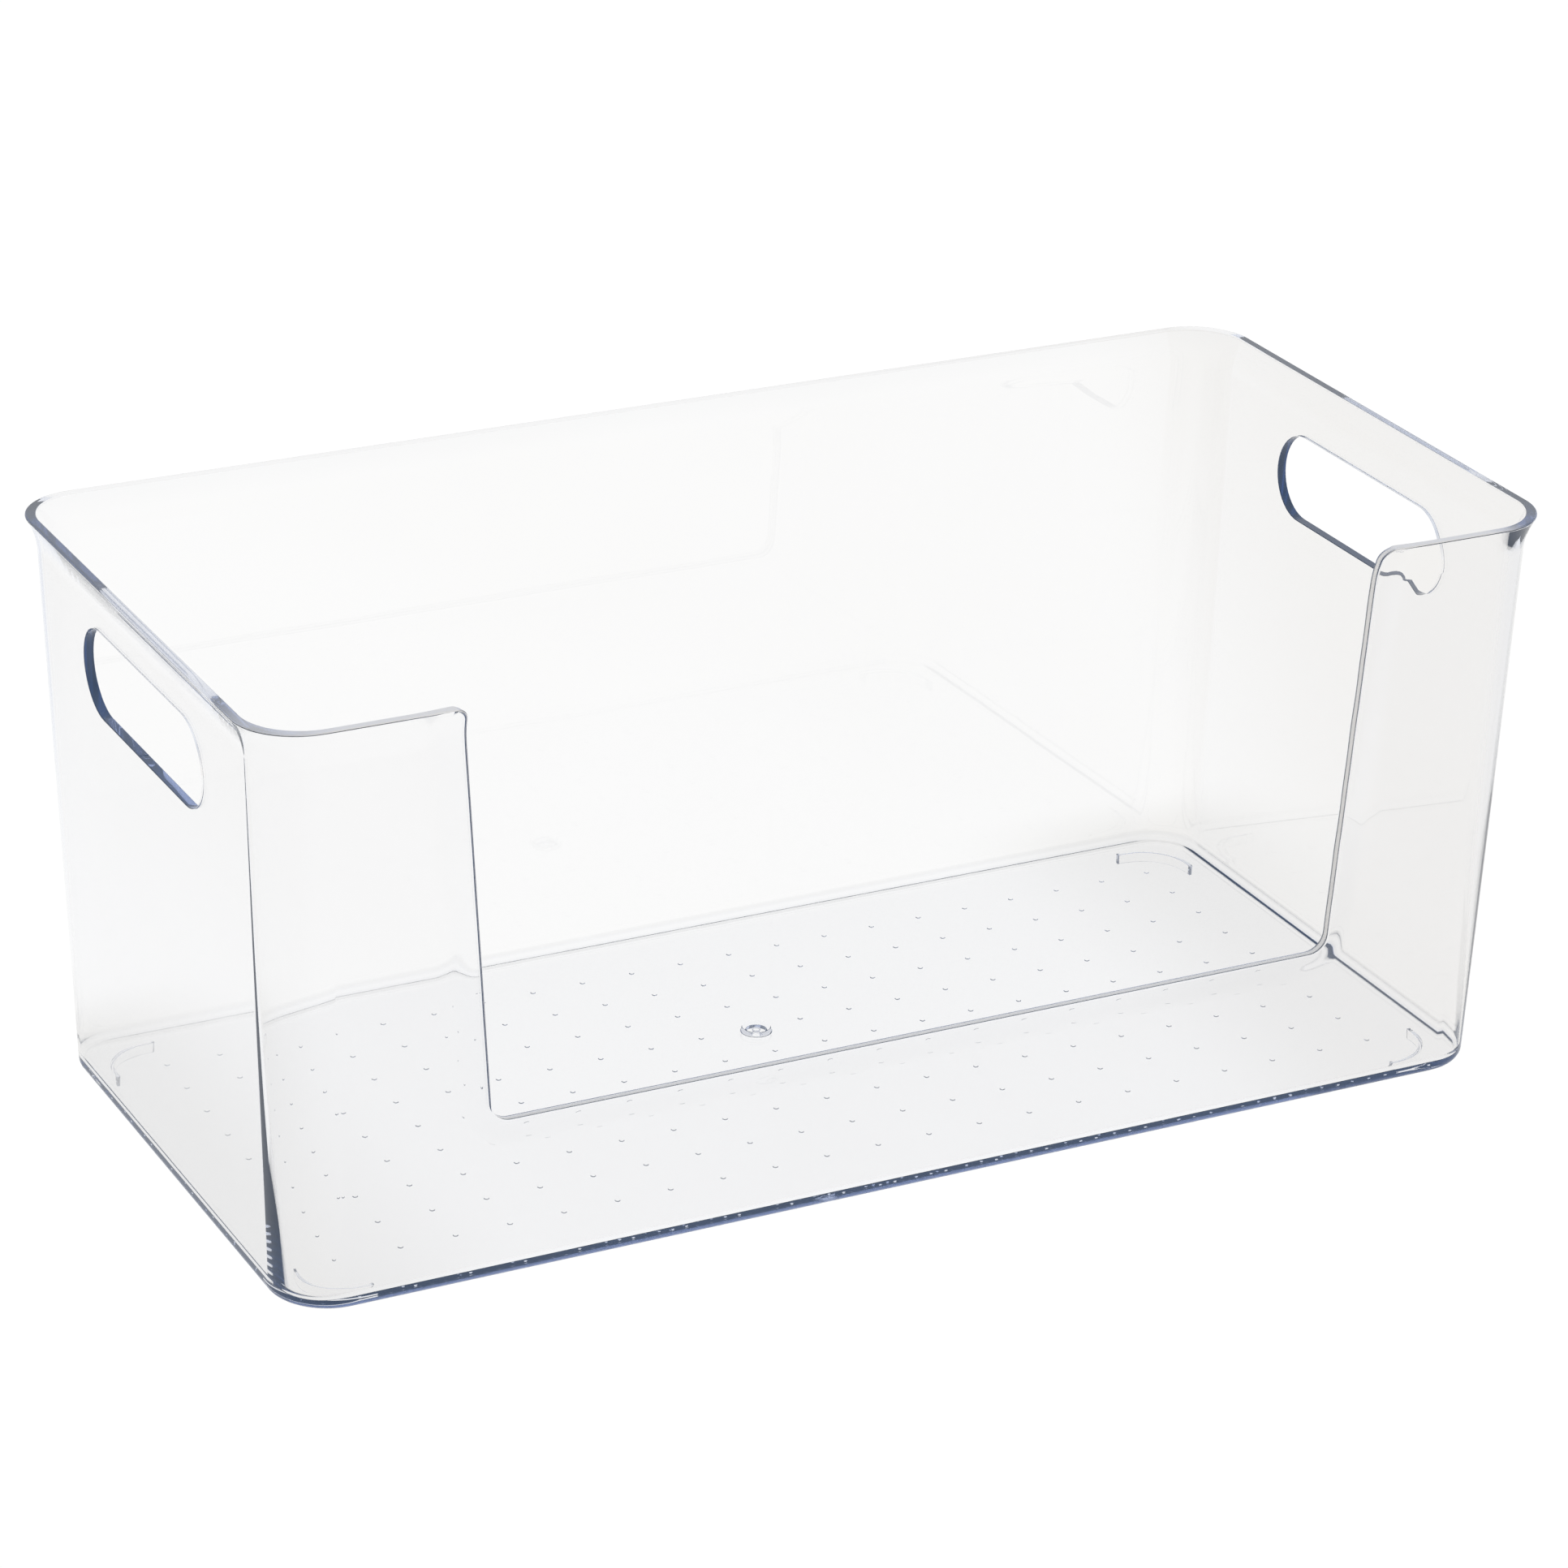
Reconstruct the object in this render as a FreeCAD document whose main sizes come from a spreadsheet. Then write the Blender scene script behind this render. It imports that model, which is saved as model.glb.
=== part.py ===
"""Open-front storage bin for a fridge shelf: one clear injection moulding.

Frame: millimetres, +Z up, origin at the middle of the footprint on the plane the four feet
stand on. +X runs along the bin's length, and -Y is the front, where the wall is cut away.
"""
import FreeCAD, Part
import math
import os

import Sketcher

# Every driving dimension of the moulding, in millimetres or as a plain count.
SIZES = {
    "top_width": 406.0,
    "top_depth": 196.0,
    "bin_height": 179.6,
    "base_width": 388.0,
    "base_depth": 185.4,
    "top_radius": 19.0,
    "base_radius": 18.4,
    "end_wall": 3.0,
    "long_wall": 2.5,
    "floor_thickness": 2.5,
    "outer_floor_round": 3.0,
    "inner_floor_round": 3.0,
    "corner_fill": 3.6,
    "corner_fill_height": 70.0,
    "flare": 3.2,
    "flare_height": 10.6,
    "lip_height": 1.2,
    "sill_height": 52.3,
    "sill_flat": 257.0,
    "sill_radius": 6.0,
    "rim_gap": 294.0,
    "rim_end_radius": 4.5,
    "slot_length": 92.0,
    "slot_height": 27.0,
    "slot_centre": 148.6,
    "foot_height": 3.4,
    "foot_inset": 9.5,
    "foot_rib": 1.2,
    "foot_radius": 15.5,
    "foot_reach": 27.8,
    "nib_diameter": 1.8,
    "nib_height": 0.5,
    "nib_columns": 21,
    "nib_rows": 9,
    "nib_column_pitch": 16.8,
    "nib_row_pitch": 16.6,
    "gate_offset": 13.0,
    "gate_boss": 9.4,
    "gate_well": 6.6,
    "gate_pip": 2.4,
    "gate_rise": 1.4,
}

FLARE_STEPS = 4
ROUND_STEPS = 4
OVERLAP = 0.5
CLEARANCE = 10.0

# Heights and outlines worked out from the driving dimensions, as sheet expressions.
UNDERSIDE = "Sizes.foot_height"
FLOOR_TOP = "(Sizes.foot_height + Sizes.floor_thickness)"
RIM_TOP = "Sizes.bin_height"
LIP_BOTTOM = "(Sizes.bin_height - Sizes.lip_height)"
NECK = "(Sizes.bin_height - Sizes.lip_height - Sizes.flare_height)"
NECK_WIDTH = "(Sizes.top_width - 2 * Sizes.flare)"
NECK_DEPTH = "(Sizes.top_depth - 2 * Sizes.flare)"
NECK_RADIUS = "(Sizes.top_radius - Sizes.flare)"


def make_sheet(doc):
    """The spreadsheet that holds the driving dimensions, one aliased cell for each."""
    sheet = doc.addObject("Spreadsheet::Sheet", "Sizes")
    for row, (alias, size) in enumerate(SIZES.items(), start=1):
        sheet.set(f"A{row}", alias)
        sheet.set(f"B{row}", str(size))
        sheet.setAlias(f"B{row}", alias)
    doc.recompute()
    return sheet


def number(thing, expression):
    """The current value of a sheet expression, as a plain float."""
    found = thing.evalExpression(expression)
    return float(getattr(found, "Value", found))


def new_sketch(body, name, plane, height="0"):
    """A sketch on one of the body's origin planes, raised along the plane's normal."""
    sketch = body.newObject("Sketcher::SketchObject", name)
    for datum in body.Origin.OriginFeatures:
        if datum.Role == plane:
            sketch.AttachmentSupport = [(datum, "")]
    sketch.MapMode = "FlatFace"
    sketch.setExpression(".AttachmentOffset.Base.z", height)
    return sketch


def measure(sketch, constraint, expression):
    """Adds a dimensional constraint and binds it to a sheet expression."""
    index = sketch.addConstraint(constraint)
    sketch.setExpression(f".Constraints[{index}]", expression)


def vector(x, y):
    return FreeCAD.Vector(x, y, 0)


def arc(centre, radius, start, end):
    """A circular arc from one angle to another, counter-clockwise, in radians."""
    circle = Part.Circle(centre, vector(0, 0) + FreeCAD.Vector(0, 0, 1), radius)
    return Part.ArcOfCircle(circle, start, end)


def rounded_rectangle(sketch, width, depth, radius):
    """Draws a rounded rectangle centred on the sketch origin from three expressions."""
    quarter = math.pi / 2
    reach_x = number(sketch, width) / 2
    reach_y = number(sketch, depth) / 2
    bend = number(sketch, radius)
    flat_x = reach_x - bend
    flat_y = reach_y - bend
    sides = [
        sketch.addGeometry(Part.LineSegment(vector(-flat_x, -reach_y), vector(flat_x, -reach_y))),
        sketch.addGeometry(Part.LineSegment(vector(reach_x, -flat_y), vector(reach_x, flat_y))),
        sketch.addGeometry(Part.LineSegment(vector(flat_x, reach_y), vector(-flat_x, reach_y))),
        sketch.addGeometry(Part.LineSegment(vector(-reach_x, flat_y), vector(-reach_x, -flat_y))),
    ]
    centres = [(flat_x, -flat_y), (flat_x, flat_y), (-flat_x, flat_y), (-flat_x, -flat_y)]
    bends = []
    for turn, (x, y) in enumerate(centres):
        start = (turn - 1) * quarter
        bends.append(sketch.addGeometry(arc(vector(x, y), bend, start, start + quarter)))
    for turn in range(4):
        after = (turn + 1) % 4
        sketch.addConstraint(Sketcher.Constraint("Tangent", sides[turn], 2, bends[turn], 1))
        sketch.addConstraint(Sketcher.Constraint("Tangent", bends[turn], 2, sides[after], 1))
    for turn in range(3):
        sketch.addConstraint(Sketcher.Constraint("Equal", bends[turn], bends[turn + 1]))
    sketch.addConstraint(Sketcher.Constraint("Horizontal", sides[0]))
    sketch.addConstraint(Sketcher.Constraint("Horizontal", sides[2]))
    sketch.addConstraint(Sketcher.Constraint("Vertical", sides[1]))
    sketch.addConstraint(Sketcher.Constraint("Vertical", sides[3]))
    sketch.addConstraint(Sketcher.Constraint("Symmetric", bends[0], 3, bends[2], 3, -1, 1))
    measure(sketch, Sketcher.Constraint("Radius", bends[0], bend), radius)
    across = Sketcher.Constraint("DistanceX", bends[3], 3, bends[0], 3, 2 * flat_x)
    measure(sketch, across, f"{width} - 2 * ({radius})")
    along = Sketcher.Constraint("DistanceY", bends[0], 3, bends[1], 3, 2 * flat_y)
    measure(sketch, along, f"{depth} - 2 * ({radius})")


def tapered(height, inset):
    """The straight part of the outer wall at a height, moved in by an inset."""
    rise = f"(({height} - {UNDERSIDE}) / ({NECK} - {UNDERSIDE}))"
    return (
        height,
        f"(Sizes.base_width + ({NECK_WIDTH} - Sizes.base_width) * {rise} - 2 * {inset})",
        f"(Sizes.base_depth + ({NECK_DEPTH} - Sizes.base_depth) * {rise} - 2 * {inset})",
        f"(Sizes.base_radius + ({NECK_RADIUS} - Sizes.base_radius) * {rise} - {inset})",
    )


def rounded_foot_of_wall(bottom, radius):
    """The wall's lowest levels: a quarter round from a flat bottom up into the wall."""
    levels = []
    for step in range(ROUND_STEPS + 1):
        angle = math.pi / 2 * step / ROUND_STEPS
        height = f"({bottom} + {radius} * {1 - math.cos(angle):.6f})"
        inset = f"({radius} * {1 - math.sin(angle):.6f})"
        levels.append(tapered(height, inset))
    return levels


def flared_rim():
    """The wall's highest levels: a sweep outward from the neck, then an upright lip."""
    levels = []
    for step in range(FLARE_STEPS + 1):
        part_way = step / FLARE_STEPS
        inset = f"(Sizes.flare * {1 - part_way ** 2})"
        levels.append((
            f"({NECK} + Sizes.flare_height * {part_way})",
            f"(Sizes.top_width - 2 * {inset})",
            f"(Sizes.top_depth - 2 * {inset})",
            f"(Sizes.top_radius - {inset})",
        ))
    levels.append((RIM_TOP, "Sizes.top_width", "Sizes.top_depth", "Sizes.top_radius"))
    return levels


def wall_levels():
    """Height, width, depth and corner radius of the outer wall, from underside to rim top."""
    return rounded_foot_of_wall(UNDERSIDE, "Sizes.outer_floor_round") + flared_rim()


def cavity_levels():
    """The inside of the wall, from the floor's top to the rim top.

    Its corners are tightest at the floor, where the moulding is thick in the corners."""
    tight = [
        (height, width, depth, f"({radius} - Sizes.corner_fill)")
        for height, width, depth, radius in rounded_foot_of_wall(
            FLOOR_TOP, "Sizes.inner_floor_round")
    ]
    levels = tight + [tapered("Sizes.corner_fill_height", "0")] + flared_rim()
    return [
        (height, f"({width} - 2 * Sizes.end_wall)", f"({depth} - 2 * Sizes.long_wall)",
         f"({radius} - Sizes.long_wall)")
        for height, width, depth, radius in levels
    ]


def loft(body, kind, name, levels):
    """A ruled loft through rounded rectangles at the given levels."""
    sections = []
    for step, (height, width, depth, radius) in enumerate(levels):
        sketch = new_sketch(body, f"{name}Outline{step}", "XY_Plane", height)
        rounded_rectangle(sketch, width, depth, radius)
        sections.append(sketch)
    body.Document.recompute()
    feature = body.newObject(kind, name)
    feature.Profile = sections[0]
    feature.Sections = sections[1:]
    feature.Ruled = True
    body.Document.recompute()
    return feature


def pocket(body, name, sketch, length, both_ways=False, other_way=False):
    """Cuts a sketch away, and stops if nothing was cut."""
    before = body.Tip.Shape.Volume
    feature = body.newObject("PartDesign::Pocket", name)
    feature.Profile = sketch
    feature.Midplane = both_ways
    feature.Reversed = other_way
    feature.setExpression("Length", length)
    body.Document.recompute()
    if feature.Shape.Volume > before - 1:
        raise ValueError(f"{name} cuts nothing")


def pad(body, name, sketch, length):
    """Raises a sketch along its normal, and stops if nothing was added."""
    before = body.Tip.Shape.Volume
    feature = body.newObject("PartDesign::Pad", name)
    feature.Profile = sketch
    feature.setExpression("Length", length)
    body.Document.recompute()
    if feature.Shape.Volume < before + 1:
        raise ValueError(f"{name} adds nothing")
    return feature


def cut_front_opening(body):
    """The wide gap in the front wall: a sill with round corners and leaning sides."""
    sketch = new_sketch(body, "FrontOpeningOutline", "XZ_Plane")
    top = number(sketch, RIM_TOP)
    sill = number(sketch, "Sizes.sill_height")
    gap = number(sketch, "Sizes.rim_gap / 2")
    flat = number(sketch, "Sizes.sill_flat / 2")
    end_radius = number(sketch, "Sizes.rim_end_radius")
    sill_radius = number(sketch, "Sizes.sill_radius")
    roof = sketch.addGeometry(Part.LineSegment(vector(gap, top + CLEARANCE),
                                               vector(-gap, top + CLEARANCE)))
    floor = sketch.addGeometry(Part.LineSegment(vector(-flat, sill), vector(flat, sill)))
    riser = {}
    ends = {}
    bends = {}
    for side in (-1, 1):
        riser[side] = sketch.addGeometry(
            Part.LineSegment(vector(side * gap, top + CLEARANCE), vector(side * gap, top)))
        low_centre = vector(side * flat, sill + sill_radius)
        high_centre = vector(side * gap, top - end_radius)
        flank = sketch.addGeometry(Part.LineSegment(
            vector(side * (gap - end_radius), top - end_radius),
            vector(side * (flat + sill_radius), sill + sill_radius)))
        if side > 0:
            ends[side] = sketch.addGeometry(arc(high_centre, end_radius, math.pi / 2, math.pi))
            bends[side] = sketch.addGeometry(arc(low_centre, sill_radius, -math.pi / 2, 0))
            end_top, end_low, bend_top, bend_low = 1, 2, 2, 1
        else:
            ends[side] = sketch.addGeometry(arc(high_centre, end_radius, 0, math.pi / 2))
            bends[side] = sketch.addGeometry(arc(low_centre, sill_radius, math.pi, 1.5 * math.pi))
            end_top, end_low, bend_top, bend_low = 2, 1, 1, 2
        roof_end = 1 if side > 0 else 2
        floor_end = 2 if side > 0 else 1
        sketch.addConstraint([
            Sketcher.Constraint("Vertical", riser[side]),
            Sketcher.Constraint("Coincident", roof, roof_end, riser[side], 1),
            Sketcher.Constraint("Coincident", riser[side], 2, ends[side], end_top),
            Sketcher.Constraint("Vertical", ends[side], 3, ends[side], end_top),
            Sketcher.Constraint("Tangent", ends[side], end_low, flank, 1),
            Sketcher.Constraint("Tangent", flank, 2, bends[side], bend_top),
            Sketcher.Constraint("Tangent", bends[side], bend_low, floor, floor_end),
        ])
    sketch.addConstraint(Sketcher.Constraint("Equal", ends[-1], ends[1]))
    sketch.addConstraint(Sketcher.Constraint("Equal", bends[-1], bends[1]))
    sketch.addConstraint(Sketcher.Constraint("Symmetric", roof, 1, roof, 2, -2))
    sketch.addConstraint(Sketcher.Constraint("Symmetric", floor, 1, floor, 2, -2))
    measure(sketch, Sketcher.Constraint("Radius", ends[1], end_radius), "Sizes.rim_end_radius")
    measure(sketch, Sketcher.Constraint("Radius", bends[1], sill_radius), "Sizes.sill_radius")
    measure(sketch, Sketcher.Constraint("DistanceX", roof, 2, roof, 1, 2 * gap), "Sizes.rim_gap")
    measure(sketch, Sketcher.Constraint("DistanceX", floor, 1, floor, 2, 2 * flat), "Sizes.sill_flat")
    measure(sketch, Sketcher.Constraint("DistanceY", -1, 1, floor, 1, sill), "Sizes.sill_height")
    measure(sketch, Sketcher.Constraint("DistanceY", -1, 1, riser[1], 2, top), RIM_TOP)
    lift = Sketcher.Constraint("DistanceY", riser[1], 2, riser[1], 1, CLEARANCE)
    sketch.addConstraint(lift)
    body.Document.recompute()
    pocket(body, "FrontOpening", sketch, "Sizes.top_depth", other_way=True)


def cut_hand_slots(body):
    """One stadium outline cut sideways through both end walls."""
    sketch = new_sketch(body, "HandSlotOutline", "YZ_Plane")
    radius = number(sketch, "Sizes.slot_height / 2")
    reach = number(sketch, "Sizes.slot_length / 2") - radius
    middle = number(sketch, "Sizes.slot_centre")
    upper = sketch.addGeometry(Part.LineSegment(vector(reach, middle + radius),
                                                vector(-reach, middle + radius)))
    lower = sketch.addGeometry(Part.LineSegment(vector(-reach, middle - radius),
                                                vector(reach, middle - radius)))
    near = sketch.addGeometry(arc(vector(reach, middle), radius, -math.pi / 2, math.pi / 2))
    far = sketch.addGeometry(arc(vector(-reach, middle), radius, math.pi / 2, 1.5 * math.pi))
    sketch.addConstraint([
        Sketcher.Constraint("Tangent", upper, 2, far, 1),
        Sketcher.Constraint("Tangent", far, 2, lower, 1),
        Sketcher.Constraint("Tangent", lower, 2, near, 1),
        Sketcher.Constraint("Tangent", near, 2, upper, 1),
        Sketcher.Constraint("Horizontal", upper),
        Sketcher.Constraint("Symmetric", far, 3, near, 3, -2),
    ])
    measure(sketch, Sketcher.Constraint("Radius", near, radius), "Sizes.slot_height / 2")
    measure(sketch, Sketcher.Constraint("DistanceX", far, 3, near, 3, 2 * reach),
            "Sizes.slot_length - Sizes.slot_height")
    measure(sketch, Sketcher.Constraint("DistanceY", -1, 1, near, 3, middle), "Sizes.slot_centre")
    body.Document.recompute()
    pocket(body, "HandSlots", sketch, "2 * Sizes.top_width", both_ways=True)


def corner_rib(sketch, side_x, side_y):
    """One foot's plan: a thin rib that curves round a bottom corner, with square ends."""
    outer_x = number(sketch, "Sizes.base_width / 2 - Sizes.foot_inset")
    outer_y = number(sketch, "Sizes.base_depth / 2 - Sizes.foot_inset")
    end_x = number(sketch, "Sizes.base_width / 2 - Sizes.foot_reach")
    end_y = number(sketch, "Sizes.base_depth / 2 - Sizes.foot_reach")
    rib = number(sketch, "Sizes.foot_rib")
    outer_radius = number(sketch, "Sizes.foot_radius")
    inner_radius = outer_radius - rib
    centre = (outer_x - outer_radius, outer_y - outer_radius)

    def at(x, y):
        return vector(side_x * x, side_y * y)

    def line(first, second):
        return sketch.addGeometry(Part.LineSegment(at(*first), at(*second)))

    def bend(radius):
        start = {(1, 1): 0.0, (-1, 1): 0.5, (-1, -1): 1.0, (1, -1): 1.5}[side_x, side_y]
        return sketch.addGeometry(
            arc(at(*centre), radius, start * math.pi, (start + 0.5) * math.pi))

    outer_long = line((end_x, outer_y), (centre[0], outer_y))
    outer_short = line((outer_x, centre[1]), (outer_x, end_y))
    inner_long = line((end_x, outer_y - rib), (centre[0], outer_y - rib))
    inner_short = line((outer_x - rib, centre[1]), (outer_x - rib, end_y))
    end_long = line((end_x, outer_y), (end_x, outer_y - rib))
    end_short = line((outer_x, end_y), (outer_x - rib, end_y))
    outer_bend = bend(outer_radius)
    inner_bend = bend(inner_radius)
    from_long, from_short = (2, 1) if side_x * side_y > 0 else (1, 2)
    sketch.addConstraint([
        Sketcher.Constraint("Tangent", outer_long, 2, outer_bend, from_long),
        Sketcher.Constraint("Tangent", outer_bend, from_short, outer_short, 1),
        Sketcher.Constraint("Tangent", inner_long, 2, inner_bend, from_long),
        Sketcher.Constraint("Tangent", inner_bend, from_short, inner_short, 1),
        Sketcher.Constraint("Coincident", outer_long, 1, end_long, 1),
        Sketcher.Constraint("Coincident", inner_long, 1, end_long, 2),
        Sketcher.Constraint("Coincident", outer_short, 2, end_short, 1),
        Sketcher.Constraint("Coincident", inner_short, 2, end_short, 2),
        Sketcher.Constraint("Horizontal", outer_long),
        Sketcher.Constraint("Vertical", outer_short),
        Sketcher.Constraint("Vertical", end_long),
        Sketcher.Constraint("Horizontal", end_short),
        Sketcher.Constraint("Coincident", outer_bend, 3, inner_bend, 3),
    ])
    measure(sketch, Sketcher.Constraint("Radius", outer_bend, outer_radius),
            "Sizes.foot_radius")
    measure(sketch, Sketcher.Constraint("Radius", inner_bend, inner_radius),
            "Sizes.foot_radius - Sizes.foot_rib")
    for kind, geometry, point, sign, half, inset in (
        ("DistanceX", outer_short, 1, side_x, "Sizes.base_width / 2", "Sizes.foot_inset"),
        ("DistanceY", outer_long, 1, side_y, "Sizes.base_depth / 2", "Sizes.foot_inset"),
        ("DistanceX", end_long, 1, side_x, "Sizes.base_width / 2", "Sizes.foot_reach"),
        ("DistanceY", end_short, 1, side_y, "Sizes.base_depth / 2", "Sizes.foot_reach"),
    ):
        reach = number(sketch, f"{half} - {inset}")
        if sign > 0:
            limit = Sketcher.Constraint(kind, -1, 1, geometry, point, reach)
        else:
            limit = Sketcher.Constraint(kind, geometry, point, -1, 1, reach)
        measure(sketch, limit, f"{half} - {inset}")


def add_feet(body):
    """Four thin curved ribs on the underside, one inside each bottom corner."""
    sketch = new_sketch(body, "FootOutline", "XY_Plane")
    for side_x in (-1, 1):
        for side_y in (-1, 1):
            corner_rib(sketch, side_x, side_y)
    body.Document.recompute()
    pad(body, "CornerFeet", sketch, f"Sizes.foot_height + {OVERLAP}")


def add_nibs(body):
    """Rows of small round nibs under the floor: one column, then a pattern along the length."""
    sketch = new_sketch(body, "NibOutline", "XY_Plane", f"{UNDERSIDE} - Sizes.nib_height")
    radius = number(sketch, "Sizes.nib_diameter / 2")
    rows = int(number(sketch, "Sizes.nib_rows"))
    half_length = "Sizes.nib_column_pitch * (Sizes.nib_columns - 1) / 2"
    first_x = number(sketch, half_length)
    pitch = number(sketch, "Sizes.nib_row_pitch")
    for row in range(rows):
        step = row - (rows - 1) / 2
        nib = sketch.addGeometry(Part.Circle(vector(-first_x, step * pitch),
                                             FreeCAD.Vector(0, 0, 1), radius))
        measure(sketch, Sketcher.Constraint("Radius", nib, radius), "Sizes.nib_diameter / 2")
        measure(sketch, Sketcher.Constraint("DistanceX", nib, 3, -1, 1, first_x), half_length)
        if step > 0:
            along = Sketcher.Constraint("DistanceY", -1, 1, nib, 3, step * pitch)
        elif step < 0:
            along = Sketcher.Constraint("DistanceY", nib, 3, -1, 1, -step * pitch)
        else:
            sketch.addConstraint(Sketcher.Constraint("PointOnObject", nib, 3, -1))
            continue
        measure(sketch, along, f"Sizes.nib_row_pitch * {abs(step)}")
    body.Document.recompute()
    column = pad(body, "NibColumn", sketch, f"Sizes.nib_height + {OVERLAP}")
    pattern = body.newObject("PartDesign::LinearPattern", "NibPattern")
    pattern.Originals = [column]
    pattern.Direction = (sketch, ["H_Axis"])
    pattern.setExpression("Length", "Sizes.nib_column_pitch * (Sizes.nib_columns - 1)")
    pattern.setExpression("Occurrences", "Sizes.nib_columns")
    body.Tip = pattern
    body.Document.recompute()
    if pattern.Shape.Volume < column.Shape.Volume + 1:
        raise ValueError("the nib pattern adds nothing")


def gate_rings(body, name, height, aliases):
    """A sketch of circles centred on the injection point, one for each diameter."""
    sketch = new_sketch(body, name, "XY_Plane", height)
    offset = number(sketch, "Sizes.gate_offset")
    for alias in aliases:
        radius = number(sketch, f"{alias} / 2")
        ring = sketch.addGeometry(Part.Circle(vector(0, offset), FreeCAD.Vector(0, 0, 1), radius))
        measure(sketch, Sketcher.Constraint("Radius", ring, radius), f"{alias} / 2")
        measure(sketch, Sketcher.Constraint("DistanceY", -1, 1, ring, 3, offset), "Sizes.gate_offset")
        sketch.addConstraint(Sketcher.Constraint("PointOnObject", ring, 3, -2))
    body.Document.recompute()
    return sketch


def add_gate_mark(body):
    """The injection point: a low boss on the floor over a well that holds the gate's pip."""
    boss = gate_rings(body, "GateBossOutline", f"{FLOOR_TOP} - {OVERLAP}", ["Sizes.gate_boss"])
    pad(body, "GateBoss", boss, f"Sizes.gate_rise + {OVERLAP}")
    well = gate_rings(body, "GateWellOutline", UNDERSIDE, ["Sizes.gate_well", "Sizes.gate_pip"])
    pocket(body, "GateWell", well, "Sizes.gate_rise", other_way=True)


def make_bin_body(doc):
    """The whole bin: walls, floor, rim, openings, feet, nibs and gate mark in one moulding."""
    body = doc.addObject("PartDesign::Body", "BinBody")
    body.Label = "bin_body"
    loft(body, "PartDesign::AdditiveLoft", "OuterWall", wall_levels())
    loft(body, "PartDesign::SubtractiveLoft", "Cavity", cavity_levels())
    cut_front_opening(body)
    cut_hand_slots(body)
    add_gate_mark(body)
    add_feet(body)
    add_nibs(body)
    body.Placement = FreeCAD.Placement()
    return body


def check(doc, bodies):
    """Stops at the first failed feature or broken solid."""
    for thing in doc.Objects:
        if "Invalid" in thing.State or "Error" in thing.State:
            raise ValueError(f"{thing.Name} failed to build: {thing.State}")
    for body in bodies:
        shape = body.Shape
        if shape.isNull() or not shape.isValid():
            raise ValueError(f"{body.Label} has no valid shape")
        if len(shape.Solids) != 1:
            raise ValueError(f"{body.Label} should be one solid, not {len(shape.Solids)}")


def main():
    doc = FreeCAD.newDocument("FridgeBin")
    make_sheet(doc)
    bodies = [make_bin_body(doc)]
    doc.recompute()
    check(doc, bodies)
    os.makedirs("parts", exist_ok=True)
    for body in bodies:
        body.Shape.exportStep(f"parts/{body.Label}.step")
        box = body.Shape.BoundBox
        print(f"{body.Label}: {box.XLength:.1f} x {box.YLength:.1f} x {box.ZLength:.1f} mm, "
              f"volume {body.Shape.Volume / 1000:.1f} cm3")


main()
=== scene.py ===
"""Clear open-front storage bin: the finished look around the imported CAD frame.

One fine closed mesh stands for the CAD moulding. Lengths are in millimetres until the mesh is
made, +Z is up, -Y is the open front, and z = 0 is the plane the feet stand on.
"""
import math

import bmesh
import bpy
import numpy as np
from mathutils import Matrix, Vector
from mathutils.geometry import delaunay_2d_cdt


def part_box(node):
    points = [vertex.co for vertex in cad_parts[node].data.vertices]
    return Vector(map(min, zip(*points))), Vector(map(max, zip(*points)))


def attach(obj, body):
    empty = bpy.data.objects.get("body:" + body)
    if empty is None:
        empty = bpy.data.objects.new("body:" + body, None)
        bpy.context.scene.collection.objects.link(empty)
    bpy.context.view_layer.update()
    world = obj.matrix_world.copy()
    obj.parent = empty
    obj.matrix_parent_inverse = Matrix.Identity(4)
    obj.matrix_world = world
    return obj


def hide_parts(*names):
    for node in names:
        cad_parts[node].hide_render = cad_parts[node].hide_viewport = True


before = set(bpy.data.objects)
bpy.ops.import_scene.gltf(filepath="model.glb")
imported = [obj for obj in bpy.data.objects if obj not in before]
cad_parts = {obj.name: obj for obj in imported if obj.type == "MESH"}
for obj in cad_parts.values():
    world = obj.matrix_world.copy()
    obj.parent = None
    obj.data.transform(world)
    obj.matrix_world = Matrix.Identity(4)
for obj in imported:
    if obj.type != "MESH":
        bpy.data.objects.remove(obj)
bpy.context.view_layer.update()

MM = 0.001
low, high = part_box("bin_body")

# The overall size comes from the frame. The other sizes repeat the CAD's, apart from the flare
# and the lip, which meet a little higher here, and what the CAD leaves out: the bead, the small
# edge rounds and the smooth thickening of the inner corners.
TOP_HALF_X = high.x / MM
TOP_HALF_Y = high.y / MM
HEIGHT = high.z / MM
BASE_HALF_X = 194.0
BASE_HALF_Y = 92.7
TOP_BEND = 19.0
BASE_BEND = 18.4
END_WALL = 3.0
LONG_WALL = 2.5
UNDERSIDE = 3.4
FLOOR_TOP = 5.9
OUTER_FLOOR_ROUND = 3.0
INNER_FLOOR_ROUND = 3.0
FLARE = 3.2
FLARE_HEIGHT = 11.2
LIP_HEIGHT = 0.6
LIP_BOTTOM = HEIGHT - LIP_HEIGHT
NECK = LIP_BOTTOM - FLARE_HEIGHT

# The inner corners' radius is smaller than an even wall would give near the floor, by
# CORNER_LOW fading over CORNER_FADE, and larger by CORNER_HIGH at the rim.
CORNER_LOW = 3.9
CORNER_FADE = 45.0
CORNER_HIGH = 1.1

SILL = 52.3
SILL_HALF = 128.5
SILL_RADIUS = 6.0
GAP_HALF = 147.0
RIM_END_RADIUS = 4.5
SLOT_HALF = 46.0
SLOT_RADIUS = 13.5
SLOT_CENTRE = 148.6

RIM_ROUND = 0.45
SLOT_ROUND = 0.3

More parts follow.
